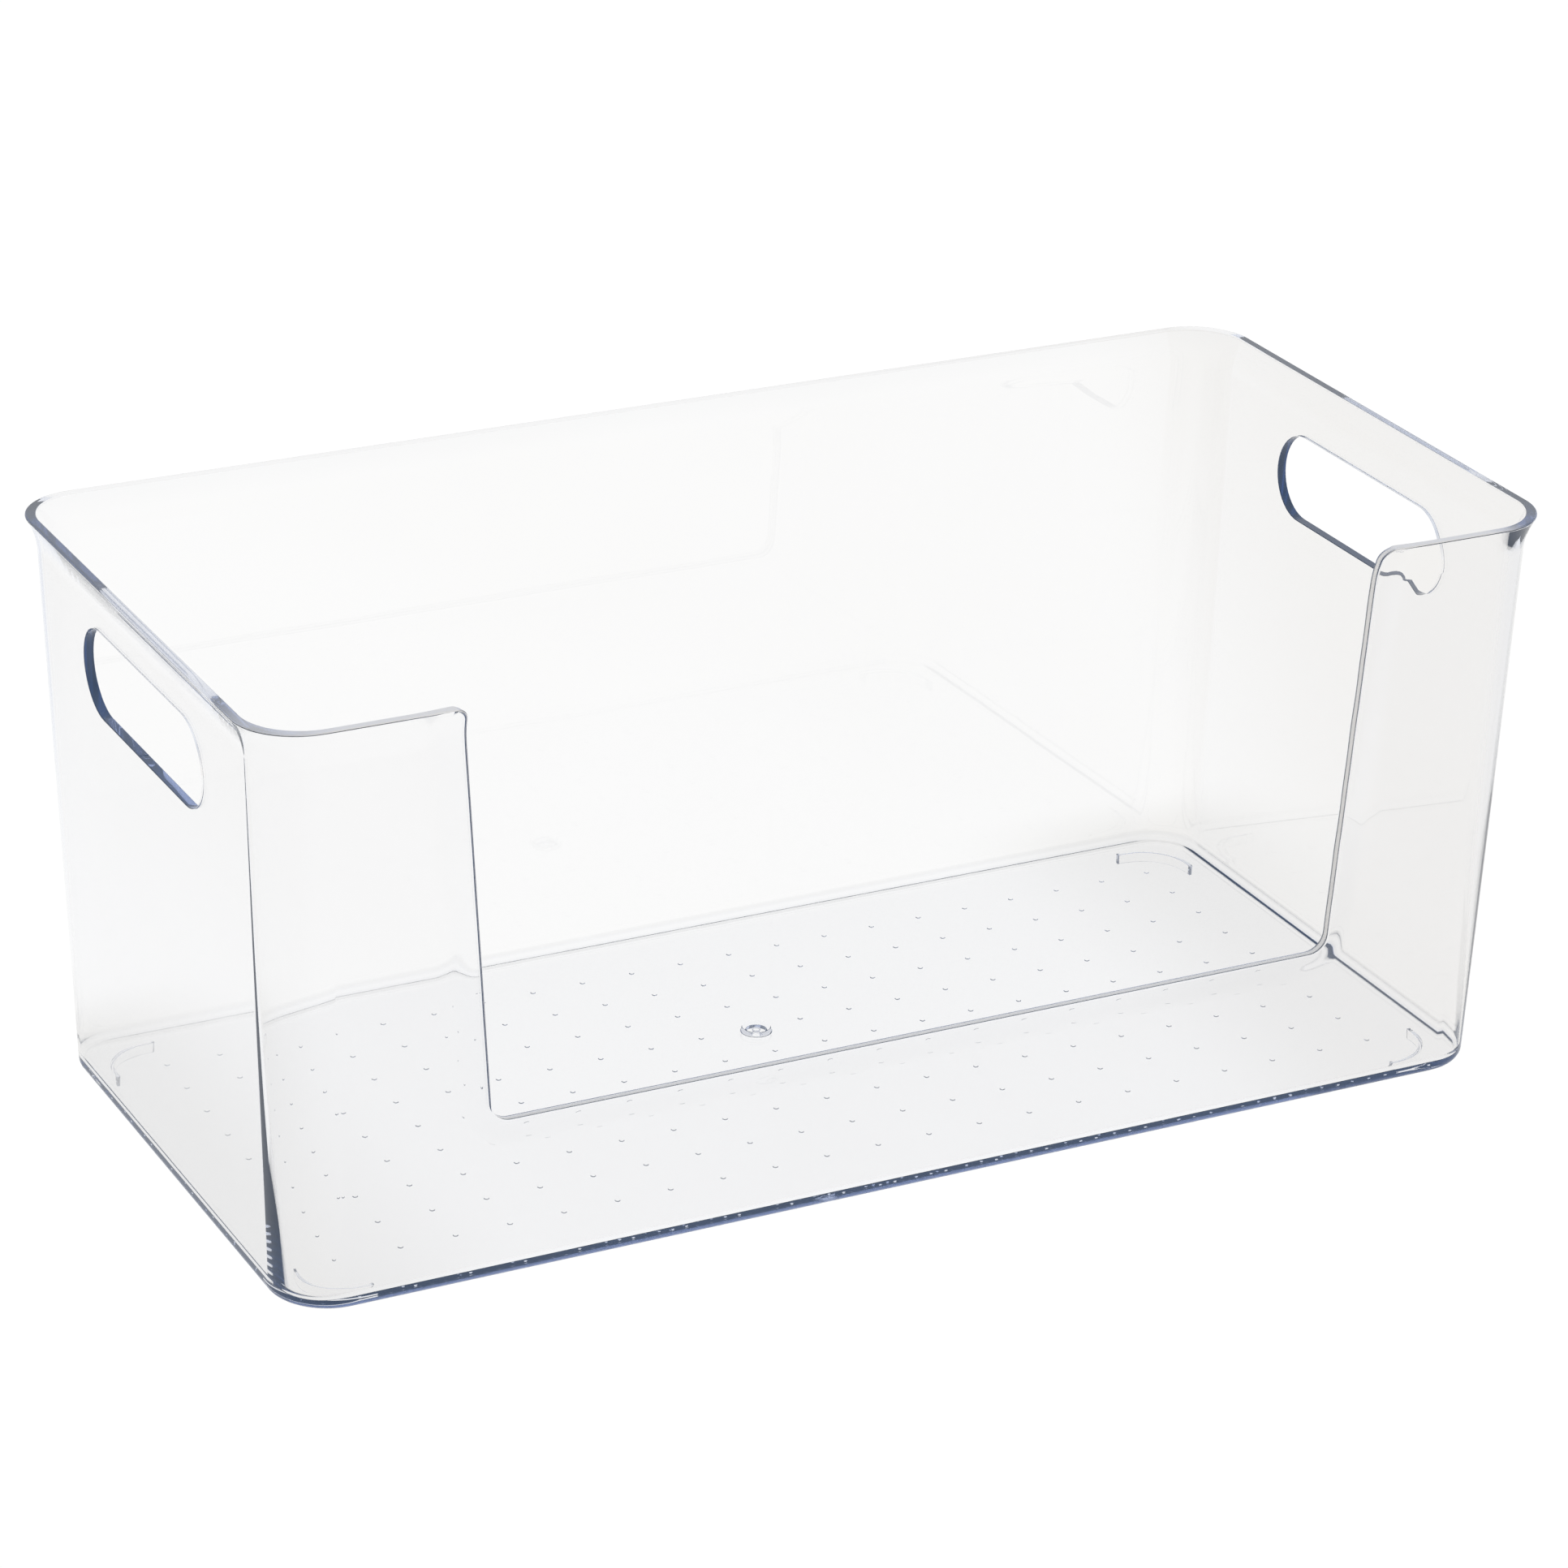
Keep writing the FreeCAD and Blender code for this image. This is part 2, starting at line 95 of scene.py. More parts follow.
# The flat core of the rim's top face is partly matt: by CORE_SIDES along the ends and the back,
# and by CORE_FRONT_LEVELS at the x positions CORE_FRONT_X along the front, with CORE_BLEND the
# stretch of y between the two. The small rounds beside the core are as matt as it is down to
# ROUNDS_MATT below the rim, and polished from ROUNDS_POLISHED on.
CORE_SIDES = 0.12
CORE_FRONT_X = (-202, -180, 180, 192)
CORE_FRONT_LEVELS = (0.5, 0.85, 0.85, CORE_SIDES)
CORE_BLEND = (-60, -85)
ROUNDS_MATT = 2
ROUNDS_POLISHED = 8

# The wall thickens by BEAD towards the front opening, over BEAD_REACH from its edge, with lines
# of mesh points BEAD_LOOPS from it. Up the wall the bead swells and thins by the share BEAD_WAVE.
BEAD = 0.75
BEAD_REACH = 9.0
BEAD_LOOPS = (0.8, 1.8, 2.8, 3.8, 4.8, 5.8, 6.8, 7.8, 8.8)
BEAD_WAVE = 0.2
BEAD_WAVE_LENGTHS = (4.1, 12.7)

# Perimeter coordinate s: where each flat and bend of the outline begins and ends, starting in
# the middle of the back wall and running anticlockwise seen from above.
BREAKS = np.array([0, 184, 209, 367, 392, 760, 785, 943, 968, 1152], float)
FLAT_X = np.array([0, -1, -1, -1, -1, 1, 1, 1, 1, 0], float)
FLAT_Y = np.array([1, 1, 1, -1, -1, -1, -1, 1, 1, 1], float)
TURN = np.radians([90, 90, 180, 180, 270, 270, 360, 360, 450, 450])
ROUND_TRIP = BREAKS[-1]
FRONT_START = BREAKS[4]
FRONT_LENGTH = BREAKS[5] - BREAKS[4]
LEFT_START = BREAKS[2]
RIGHT_START = BREAKS[6]
END_LENGTH = BREAKS[3] - BREAKS[2]

# How finely the skins are divided. Grid points stay KEEP_OFF away from every cut outline, and
# points along a bead loop stay CROWDED apart.
GRID_PITCH = 5.0
FRONT_BEND_STEPS = 160
BACK_BEND_STEPS = 40
ROUND_STEPS = 10
FLARE_STEPS = 10
EDGE_STEPS = 5
FACE_STEPS = 4
ARC_STEPS = 12
NIB_STEPS = 14
WELL_STEPS = 32
BOSS_STEPS = 40
KEEP_OFF = 1.0
CROWDED = 0.3

FOOT_OUTER_X = 184.5
FOOT_OUTER_Y = 83.2
FOOT_END_X = 166.2
FOOT_END_Y = 64.9
FOOT_RIB = 1.2
FOOT_OUTER_BEND = 15.5
FOOT_BEND_STEPS = 8

NIB_COLUMNS = 21
NIB_ROWS = 9
NIB_COLUMN_PITCH = 16.8
NIB_ROW_PITCH = 16.6

GATE_Y = 13.0
GATE_CLEAR = 4.6


# ---------------------------------------------------------------- wall outline and profile


def outline(s, half_x, half_y, bend):
    """Points of a rounded rectangle at perimeter coordinates s."""
    x = np.interp(s, BREAKS, FLAT_X) * (half_x - bend)
    y = np.interp(s, BREAKS, FLAT_Y) * (half_y - bend)
    turn = np.interp(s, BREAKS, TURN)
    return x + bend * np.cos(turn), y + bend * np.sin(turn)


def outer_sizes(z):
    """Half length, half depth and corner radius of the outer wall at height z."""
    rise = np.clip((z - UNDERSIDE) / (NECK - UNDERSIDE), 0, 1)
    flared = np.clip((z - NECK) / FLARE_HEIGHT, 0, 1)
    out = FLARE * flared ** 2
    half_x = BASE_HALF_X + (TOP_HALF_X - FLARE - BASE_HALF_X) * rise + out
    half_y = BASE_HALF_Y + (TOP_HALF_Y - FLARE - BASE_HALF_Y) * rise + out
    bend = BASE_BEND + (TOP_BEND - FLARE - BASE_BEND) * rise + out
    return half_x, half_y, bend


def rounded_foot(v, start, radius):
    """Height and inward shift along a wall whose foot rounds under below height start.

    Above start, v is the height; below it, v counts arc length round the quarter turn."""
    angle = np.clip((start - v) / radius, 0, math.pi / 2)
    z = np.maximum(v, start) - radius * np.sin(angle)
    return z, radius * (1 - np.cos(angle))


def outer_flats(z):
    """Half lengths of the front's and an end's flat parts on the outer skin at height z."""
    half_x, half_y, bend = outer_sizes(z)
    return half_x - bend, half_y - bend


def outer_skin(s, v):
    """Points on the outer surface, as an array of rows x, y, z."""
    z, shift = rounded_foot(v, UNDERSIDE + OUTER_FLOOR_ROUND, OUTER_FLOOR_ROUND)
    half_x, half_y, bend = outer_sizes(z)
    x, y = outline(s, half_x - shift, half_y - shift, bend - shift)
    return np.stack([x, y, z], -1)


def inner_sizes(z):
    """Half length, half depth and corner radius of the cavity; its corners are thick low down."""
    half_x, half_y, bend = outer_sizes(z)
    above = np.maximum(z - UNDERSIDE, 0)
    thick = CORNER_LOW * np.exp(-(above / CORNER_FADE) ** 1.5) - CORNER_HIGH * above / HEIGHT
    return half_x - END_WALL, half_y - LONG_WALL, bend - LONG_WALL - thick


def inner_flats(z):
    """Half lengths of the front's and an end's flat parts on the inner skin at height z."""
    half_x, half_y, bend = inner_sizes(z)
    return half_x - bend, half_y - bend


def from_opening(x, z):
    """Distance in the front wall's plane from the edge of the front opening."""
    lean = (GAP_HALF - SILL_HALF - SILL_RADIUS) / (HEIGHT - SILL - SILL_RADIUS)
    flank = SILL_HALF + SILL_RADIUS + (z - SILL - SILL_RADIUS) * lean
    side = np.abs(x) - flank + SILL_RADIUS
    under = SILL - z + SILL_RADIUS
    reach = np.hypot(np.maximum(side, 0), np.maximum(under, 0))
    return reach + np.minimum(np.maximum(side, under), 0) - SILL_RADIUS


def bead(x, y, z):
    """How far the inner surface stands in, towards +Y, round the front opening."""
    fall = np.clip(from_opening(x, z) / BEAD_REACH, 0, 1)
    shape = (1 - fall ** 2) ** 2
    short, long = BEAD_WAVE_LENGTHS
    wave = 1 + BEAD_WAVE * np.sin(z / short) * np.sin(z / long + 1)
    return np.where(y < 0, BEAD * shape * wave, 0)


def inner_skin(s, v):
    """Points on the inner surface, as an array of rows x, y, z."""
    z, shift = rounded_foot(v, FLOOR_TOP + INNER_FLOOR_ROUND, INNER_FLOOR_ROUND)
    half_x, half_y, bend = inner_sizes(z)
    x, y = outline(s, half_x - shift, half_y - shift, bend - shift)
    return np.stack([x, y + bead(x, y, z), z], -1)


def unit(rows):
    """Rows scaled to length 1."""
    return rows / np.maximum(np.linalg.norm(rows, axis=-1, keepdims=True), 1e-12)


def skin_normals(skin, s, v, top):
    """Outward normals of a skin from small steps along s and v, kept inside its range."""
    step = 0.05
    bottom = v.min()
    ahead = skin(np.minimum(s + step, ROUND_TRIP), v) - skin(np.maximum(s - step, 0), v)
    up = skin(s, np.minimum(v + step, top)) - skin(s, np.maximum(v - step, bottom))
    return unit(np.cross(ahead, up))


# ---------------------------------------------------------------- outlines of the openings


def sweep(centre, radius, start, end, steps, outward):
    """Rows x, z, dx, dz along an arc; dx, dz is the radial direction times outward."""
    rows = []
    for step in range(steps + 1):
        angle = start + (end - start) * step / steps
        direction = np.array([math.cos(angle), math.sin(angle)])
        rows.append(np.r_[centre + radius * direction, outward * direction])
    return rows


def straight(first, second, pitch):
    """Rows strictly between two outline rows that share a direction, about a pitch apart."""
    length = np.linalg.norm(second[:2] - first[:2])
    steps = max(1, round(length / pitch))
    return [first + (second - first) * step / steps for step in range(1, steps)]


def right_flank():
    """The opening's right side from the sill up to the rim, as rows x, z, dx, dz."""
    low_centre = np.array([SILL_HALF, SILL + SILL_RADIUS])
    high_centre = np.array([GAP_HALF, HEIGHT - RIM_END_RADIUS])
    across = high_centre - low_centre
    lean = math.atan2(across[1], across[0])
    lean -= math.acos((SILL_RADIUS + RIM_END_RADIUS) / np.linalg.norm(across))
    sill_bend = sweep(low_centre, SILL_RADIUS, -math.pi / 2, lean, ARC_STEPS, -1)
    rim_end = sweep(high_centre, RIM_END_RADIUS, lean + math.pi, math.pi / 2, ARC_STEPS, 1)
    return sill_bend + straight(sill_bend[-1], rim_end[0], GRID_PITCH / 2) + rim_end


def front_opening():
    """The whole cut in the front wall from its left rim end to its right rim end."""
    right = right_flank()
    mirror = np.array([-1, 1, -1, 1])
    left = [row * mirror for row in reversed(right)]
    return np.array(left + straight(left[-1], right[0], GRID_PITCH / 2) + right)


def slot_outline():
    """One hand slot as rows y, z, dy, dz, with the direction pointing into the slot."""
    reach = SLOT_HALF - SLOT_RADIUS
    half_turn = 2 * ARC_STEPS
    near = sweep(np.array([reach, SLOT_CENTRE]), SLOT_RADIUS,
                 -math.pi / 2, math.pi / 2, half_turn, -1)
    far = sweep(np.array([-reach, SLOT_CENTRE]), SLOT_RADIUS,
                math.pi / 2, 1.5 * math.pi, half_turn, -1)
    upper = straight(near[-1], far[0], GRID_PITCH / 2)
    lower = straight(far[-1], near[0], GRID_PITCH / 2)
    return np.array(near + upper + far + lower)


def pulled_back(rows, reach):
    """An opening's outline moved into the material by reach."""
    return rows[:, :2] - reach * rows[:, 2:]


def beside(rows, reach):
    """An outline moved into the material, without the points that come too close together.

    Where the offset turns back on itself, its points are nearer to the outline than reach; the
    factor just below 1 lets the others pass in spite of the outline being made of chords."""
    moved = pulled_back(rows, reach + RIM_ROUND)
    clear = distance(moved, pulled_back(rows, RIM_ROUND)) > 0.97 * reach
    moved = moved[clear & (moved[:, 1] < HEIGHT - RIM_ROUND - KEEP_OFF)]
    apart = np.hypot(*np.diff(moved, axis=0).T) > CROWDED
    return moved[np.r_[True, apart]]


# ---------------------------------------------------------------- mesh assembly


class Mesh:
    """Points with their normals, and faces, gathered piece by piece."""

    def __init__(self):
        self.points = []
        self.normals = []
        self.dull = []
        self.faces = []
        self.count = 0

    def add(self, points, normals, faces, dull=None):
        """Adds faces over new points, each turned to agree with its points' normals."""
        points = np.asarray(points, float)
        normals = np.asarray(normals, float)
        for face in faces:
            corners = points[list(face)]
            flat = np.cross(corners[1] - corners[0], corners[2] - corners[0])
            if flat @ normals[list(face)].sum(axis=0) < 0:
                face = face[::-1]
            self.faces.append(tuple(self.count + int(i) for i in face))
        self.points.append(points)
        self.normals.append(normals)
        self.dull.append(np.zeros(len(points)) if dull is None else dull)
        self.count += len(points)


def inside(points, polygon):
    """Which points lie inside a closed polygon."""
    x, y = points[:, 0], points[:, 1]
    found = np.zeros(len(points), bool)
    for (x1, y1), (x2, y2) in zip(polygon, np.roll(polygon, -1, 0)):
        crosses = (y1 > y) != (y2 > y)
        if y1 != y2:
            found ^= crosses & (x < (x2 - x1) * (y - y1) / (y2 - y1) + x1)
    return found


def distance(points, line):
    """Distance from each point to the nearest point of a dense line."""
    nearest = np.full(len(points), np.inf)
    for corner in line:
        nearest = np.minimum(nearest, np.hypot(*(points - corner).T))
    return nearest


def triangulate(points, edges):
    """Constrained triangles over flat points, with the points in their given order."""
    corners = [Vector((float(x), float(y))) for x, y in points]
    found = delaunay_2d_cdt(corners, edges, [], 0, 1e-5)
    place = [origin[0] for origin in found[3]]
    if len(place) != len(points) or any(not origin for origin in found[3]):
        raise ValueError(f"triangulation changed {len(points)} points into {len(place)}")
    return np.array([[place[i] for i in face] for face in found[2]])


def loop_edges(first, count):
    """Index pairs that join count points, numbered from first, into a closed loop."""
    return [(first + i, first + (i + 1) % count) for i in range(count)]


def chain_edges(first, count):
    """Index pairs that join count points, numbered from first, into an open line."""
    return [(first + i, first + i + 1) for i in range(count - 1)]


def perimeter_steps():
    """Values of s for the grid: even along the flats, fine round the bends by the front."""
    steps = []
    for first, second, turning in zip(BREAKS, BREAKS[1:], np.diff(TURN)):
        if not turning:
            count = round((second - first) / GRID_PITCH)
        elif FRONT_START in (first, second) or FRONT_START + FRONT_LENGTH in (first, second):
            count = FRONT_BEND_STEPS
        else:
            count = BACK_BEND_STEPS
        steps += list(np.linspace(first, second, count, endpoint=False))
    return np.array(steps + [ROUND_TRIP])


def height_steps(start, radius, top):
    """Values of v for the grid: the rounded foot, the wall, the flare and the lip.

    A row just under the lip keeps the crease between flare and lip narrow."""
    foot = np.linspace(start - radius * math.pi / 2, start, ROUND_STEPS, endpoint=False)
    wall = np.linspace(start, NECK, round((NECK - start) / GRID_PITCH), endpoint=False)
    flare = np.linspace(NECK, LIP_BOTTOM, FLARE_STEPS, endpoint=False)
    lip = [LIP_BOTTOM - 0.1, LIP_BOTTOM, top]
    return np.concatenate([foot, wall, flare, lip])


def on_front(rows, flat_at):
    """Perimeter coordinates of front-wall points x, z on the skin whose flats are given."""
    flat_x = flat_at(rows[:, 1])[0]
    return FRONT_START + (rows[:, 0] / flat_x + 1) / 2 * FRONT_LENGTH


def rim_steps():
    """Grid values of s along the rim, before and after the opening, the same on both skins."""
    notch = pulled_back(front_opening(), RIM_ROUND)
    reach = np.concatenate([on_front(notch, outer_flats), on_front(notch, inner_flats)])
    steps = perimeter_steps()
    return steps[steps < reach.min() - KEEP_OFF], steps[steps > reach.max() + KEEP_OFF]


def wall_domain(start, radius, flat_at):
    """The flat (s, v) picture of one skin: points, fixed edges, and the outlines of its cuts.

    flat_at gives the half lengths of the front's and an end's flat parts at a height. The mouth
    is the front opening closed off well above the rim."""
    top = HEIGHT - RIM_ROUND
    opening = pulled_back(front_opening(), RIM_ROUND)
    notch = np.stack([on_front(opening, flat_at), opening[:, 1]], -1)
    loops = np.vstack([beside(front_opening(), reach) for reach in BEAD_LOOPS])
    loops = np.stack([on_front(loops, flat_at), loops[:, 1]], -1)
    slot = pulled_back(slot_outline(), SLOT_ROUND)
    along = slot[:, 0] / flat_at(slot[:, 1])[1]
    left = np.stack([LEFT_START + (1 - along) / 2 * END_LENGTH, slot[:, 1]], -1)
    right = np.stack([RIGHT_START + (1 + along) / 2 * END_LENGTH, slot[:, 1]], -1)

    levels = height_steps(start, radius, top)
    grid = np.array([(s, v) for v in levels[:-1] for s in perimeter_steps()])
    mouth = np.vstack([notch, [(notch[-1, 0], top + 50), (notch[0, 0], top + 50)]])
    holes = (mouth, left, right)
    keep = ~np.any([inside(grid, hole) for hole in holes], axis=0)
    for line in (left, right, notch, loops):
        keep &= distance(grid, line) > KEEP_OFF
    before, after = (np.column_stack([steps, np.full(len(steps), top)])
                     for steps in rim_steps())
    border = np.vstack([before, notch, after])
    points = np.vstack([border, left, right, grid[keep], loops])
    edges = chain_edges(0, len(border))
    edges += loop_edges(len(border), len(left))
    edges += loop_edges(len(border) + len(left), len(right))
    return points, edges, (border, left, right), holes


def add_skin(mesh, skin, start, radius, flat_at, outward):
    """One skin of the walls; returns points and normals along the rim and each hand slot."""
    points, edges, outlines, holes = wall_domain(start, radius, flat_at)
    triangles = triangulate(points, edges)
    middles = points[triangles].mean(axis=1)
    triangles = triangles[~np.any([inside(middles, hole) for hole in holes], axis=0)]
    s, v = points.T
    placed = skin(s, v)
    normals = skin_normals(skin, s, v, HEIGHT) * outward
    mesh.add(placed, normals, triangles)
    cuts = []
    first = 0
    for line in outlines:
        last = first + len(line)
        cuts.append((placed[first:last], normals[first:last]))
        first = last
    return cuts


def rim_dullness(points, facing, rows):
    """How matt each point of the rim's strip is, as rows across by points along.

    The flat core is matt, and so are the rounds beside it where they face up near the rim."""
    x, y, z = points.T
    front = np.interp(x, CORE_FRONT_X, CORE_FRONT_LEVELS)
    start, end = CORE_BLEND
    core = CORE_SIDES + (front - CORE_SIDES) * np.clip((start - y) / (start - end), 0, 1)
    near = np.clip((z - HEIGHT + ROUNDS_POLISHED) / (ROUNDS_POLISHED - ROUNDS_MATT), 0, 1)
    top = near * np.clip(facing[:, 2], 0, 1) ** 2
    dull = np.zeros((rows, len(points)))
    dull[1:-1] = core * top
    dull[EDGE_STEPS + 1:-EDGE_STEPS - 1] = core
    return dull


def add_edge(mesh, outer, inner, facing, edge_round, closed):
    """The cut face between the skins along one outline, with a small round at each edge."""
    rows = []
    tilts = []
    quarter = np.linspace(0, math.pi / 2, EDGE_STEPS + 1)
    for (points, normals), angles in ((outer, quarter), (inner, quarter[::-1])):
        side = []
        side_tilts = []
        for angle in angles:
            side.append(points + edge_round * math.sin(angle) * facing
                        - edge_round * (1 - math.cos(angle)) * normals)
            side_tilts.append(unit(math.cos(angle) * normals + math.sin(angle) * facing))
        rows.append(side)
        tilts.append(side_tilts)
    first, last = rows[0][-1], rows[1][0]
    between = [first + (last - first) * k / FACE_STEPS for k in range(1, FACE_STEPS)]
    strip = rows[0] + between + rows[1]
    strip_tilts = tilts[0] + [facing] * len(between) + tilts[1]
    length = len(facing)
    dull = None if closed else rim_dullness(outer[0], facing, len(strip)).ravel()
    faces = []
    for row in range(len(strip) - 1):
        for i in range(length if closed else length - 1):
            j = (i + 1) % length
            a, b = row * length + i, row * length + j
            faces.append((a, b, b + length, a + length))
    placed = np.vstack(strip)
    placed[:, 2] = np.minimum(placed[:, 2], HEIGHT)
    mesh.add(placed, np.vstack(strip_tilts), faces, dull)


# ---------------------------------------------------------------- floor, feet, nibs and gate


def rings(x, y, profile, around):
    """Concentric rings round x, y: each profile row is radius, height and normal tilt."""
    loops = []
    for radius, z, tilt in profile:
        turn = np.linspace(0, 2 * math.pi, around, endpoint=False)
        cosine, sine = np.cos(turn), np.sin(turn)
        flat = np.stack([x + radius * cosine, y + radius * sine], -1)
        lean = math.radians(tilt)
        normals = np.stack([math.sin(lean) * cosine, math.sin(lean) * sine,
                            np.full(around, math.cos(lean))], -1)
        loops.append((flat, np.full(around, z), normals))
    return loops


def foot_loop(side_x, side_y, shift):
    """A foot's outline moved in by shift, as points and outward directions in plan.

    The foot is a rib along a spine: straight, round the corner, and straight again."""
    half = FOOT_RIB / 2 - shift
    middle = FOOT_OUTER_BEND - FOOT_RIB / 2
    centre = np.array([FOOT_OUTER_X - FOOT_OUTER_BEND, FOOT_OUTER_Y - FOOT_OUTER_BEND])
    long_end = np.array([FOOT_END_X + shift, centre[1] + middle])
    short_end = np.array([centre[0] + middle, FOOT_END_Y + shift])
    spine = [(long_end, (0, 1)), ((long_end + [centre[0], centre[1] + middle]) / 2, (0, 1))]
    for step in range(FOOT_BEND_STEPS + 1):
        turn = math.pi / 2 * (1 - step / FOOT_BEND_STEPS)
        away = np.array([math.cos(turn), math.sin(turn)])
        spine.append((centre + middle * away, tuple(away)))
    spine.append(((short_end + [centre[0] + middle, centre[1]]) / 2, (1, 0)))
    spine.append((short_end, (1, 0)))
    outer = [(point + half * np.array(away), np.array(away)) for point, away in spine]
    inner = [(point - half * np.array(away), -np.array(away)) for point, away in spine]
    loop = outer + inner[::-1]
    diagonal = math.sqrt(0.5)
    for index, away in ((0, (-1, 1)), (len(spine) - 1, (1, -1)),
                        (len(spine), (-1, -1)), (len(loop) - 1, (-1, -1))):
        loop[index] = (loop[index][0], np.array(away) * diagonal)
    mirror = np.array([side_x, side_y])
    points = np.array([point * mirror for point, away in loop])
    directions = np.array([away * mirror for point, away in loop])
    return points, directions


# Each row of a profile is an inward shift or a radius, a height, and the normal's tilt away from
# vertical in degrees.
FOOT_PROFILE = ((0.0, UNDERSIDE, 0), (0.03, UNDERSIDE - 0.12, 45), (0.08, UNDERSIDE - 0.3, 85),
                (0.16, 0.25, 85), (0.25, 0.05, 45), (0.4, 0.0, 0))
NIB_PROFILE = ((0.85, UNDERSIDE, 0), (0.8, UNDERSIDE - 0.05, 42), (0.68, UNDERSIDE - 0.15, 37),
               (0.52, UNDERSIDE - 0.25, 27), (0.32, UNDERSIDE - 0.32, 16), (0.1, UNDERSIDE - 0.35, 5))
WELL_PROFILE = ((3.45, UNDERSIDE, 0), (3.3, UNDERSIDE + 0.15, -80), (3.2, UNDERSIDE + 1.2, -80),
                (3.1, UNDERSIDE + 1.33, -45), (2.95, UNDERSIDE + 1.4, 0),
                (1.35, UNDERSIDE + 1.4, 0), (1.2, UNDERSIDE + 1.25, 80),
                (1.15, UNDERSIDE + 0.3, 80), (1.05, UNDERSIDE + 0.15, 45),
                (0.85, UNDERSIDE + 0.1, 0))
BOSS_PROFILE = ((5.0, FLOOR_TOP, 0), (4.7, FLOOR_TOP + 0.15, 70), (4.55, FLOOR_TOP + 1.1, 75),
                (4.4, FLOOR_TOP + 1.32, 45), (4.15, FLOOR_TOP + 1.4, 0),
                (1.6, FLOOR_TOP + 1.4, 0), (1.2, FLOOR_TOP + 1.28, 0))


def add_plate(mesh, border, height, features, facing):
    """A level plate inside a border, with features made of nested loops of points."""
    flats = [border[:, :2]]
    levels = [np.full(len(border), height)]
    normals = [np.tile([0, 0, 1.0], (len(border), 1))]
    edges = loop_edges(0, len(border))
    count = len(border)
    for loops in features:
        for flat, z, tilt in loops:
            edges += loop_edges(count, len(flat))
            count += len(flat)
            flats.append(flat)
            levels.append(z)
            normals.append(tilt)
    flat = np.vstack(flats)
    triangles = triangulate(flat, edges)
    middles = flat[triangles].mean(axis=1)
    triangles = triangles[inside(middles, border[:, :2])]
    points = np.column_stack([flat, np.concatenate(levels)])
    mesh.add(points, np.vstack(normals) * [1, 1, facing], triangles)


def underside_features():
    """The gate's well, the four feet and the grid of nibs, which leaves out the well's place."""
    features = [rings(0, GATE_Y, WELL_PROFILE, WELL_STEPS)]
    for side_x in (-1, 1):
        for side_y in (-1, 1):
            loops = []
            for shift, z, tilt in FOOT_PROFILE:
                flat, away = foot_loop(side_x, side_y, shift)
                lean = math.radians(tilt)
                normals = np.column_stack([away * math.sin(lean),
                                           np.full(len(flat), math.cos(lean))])
                loops.append((flat, np.full(len(flat), z), normals))
            features.append(loops)
    for column in range(NIB_COLUMNS):
        for row in range(NIB_ROWS):
            x = (column - (NIB_COLUMNS - 1) / 2) * NIB_COLUMN_PITCH
            y = (row - (NIB_ROWS - 1) / 2) * NIB_ROW_PITCH
            if math.hypot(x, y - GATE_Y) > GATE_CLEAR:
                features.append(rings(x, y, NIB_PROFILE, NIB_STEPS))
    return features


# ---------------------------------------------------------------- the whole shell


def cut_facing(normals, along, rows):
    """Directions out of the material along a cut, made square to the wall's normals there."""
    run = np.outer(rows[:, 2], along) + np.outer(rows[:, 3], [0, 0, 1.0])
    return unit(run - normals * (run * normals).sum(-1, keepdims=True))


def skin_foot(skin, start, radius):
    """The line where a skin's rounded foot runs level into the floor."""
    steps = perimeter_steps()[:-1]
    return skin(steps, np.full(len(steps), start - radius * math.pi / 2))


def shell_mesh():
    """The whole moulding: two skins, the cut faces between them, the underside and the floor."""
    mesh = Mesh()
    outer_start = UNDERSIDE + OUTER_FLOOR_ROUND
    inner_start = FLOOR_TOP + INNER_FLOOR_ROUND
    outer = add_skin(mesh, outer_skin, outer_start, OUTER_FLOOR_ROUND, outer_flats, 1)
    inner = add_skin(mesh, inner_skin, inner_start, INNER_FLOOR_ROUND, inner_flats, -1)

    points, normals = outer[0]
    opening = front_opening()
    facing = np.tile([0, 0, 1.0], (len(points), 1))
    before = len(rim_steps()[0])
    notch = slice(before, before + len(opening))
    facing[notch] = cut_facing(normals[notch], [1.0, 0, 0], opening)
    add_edge(mesh, outer[0], inner[0], facing, RIM_ROUND, False)
    slot = slot_outline()
    for index in (1, 2):
        facing = cut_facing(outer[index][1], [0, 1.0, 0], slot)
        add_edge(mesh, outer[index], inner[index], facing, SLOT_ROUND, True)

    bottom = skin_foot(outer_skin, outer_start, OUTER_FLOOR_ROUND)
    add_plate(mesh, bottom, UNDERSIDE, underside_features(), -1)
    floor = skin_foot(inner_skin, inner_start, INNER_FLOOR_ROUND)
    add_plate(mesh, floor, FLOOR_TOP, [rings(0, GATE_Y, BOSS_PROFILE, BOSS_STEPS)], 1)
    return mesh


WELD = 0.004 * MM


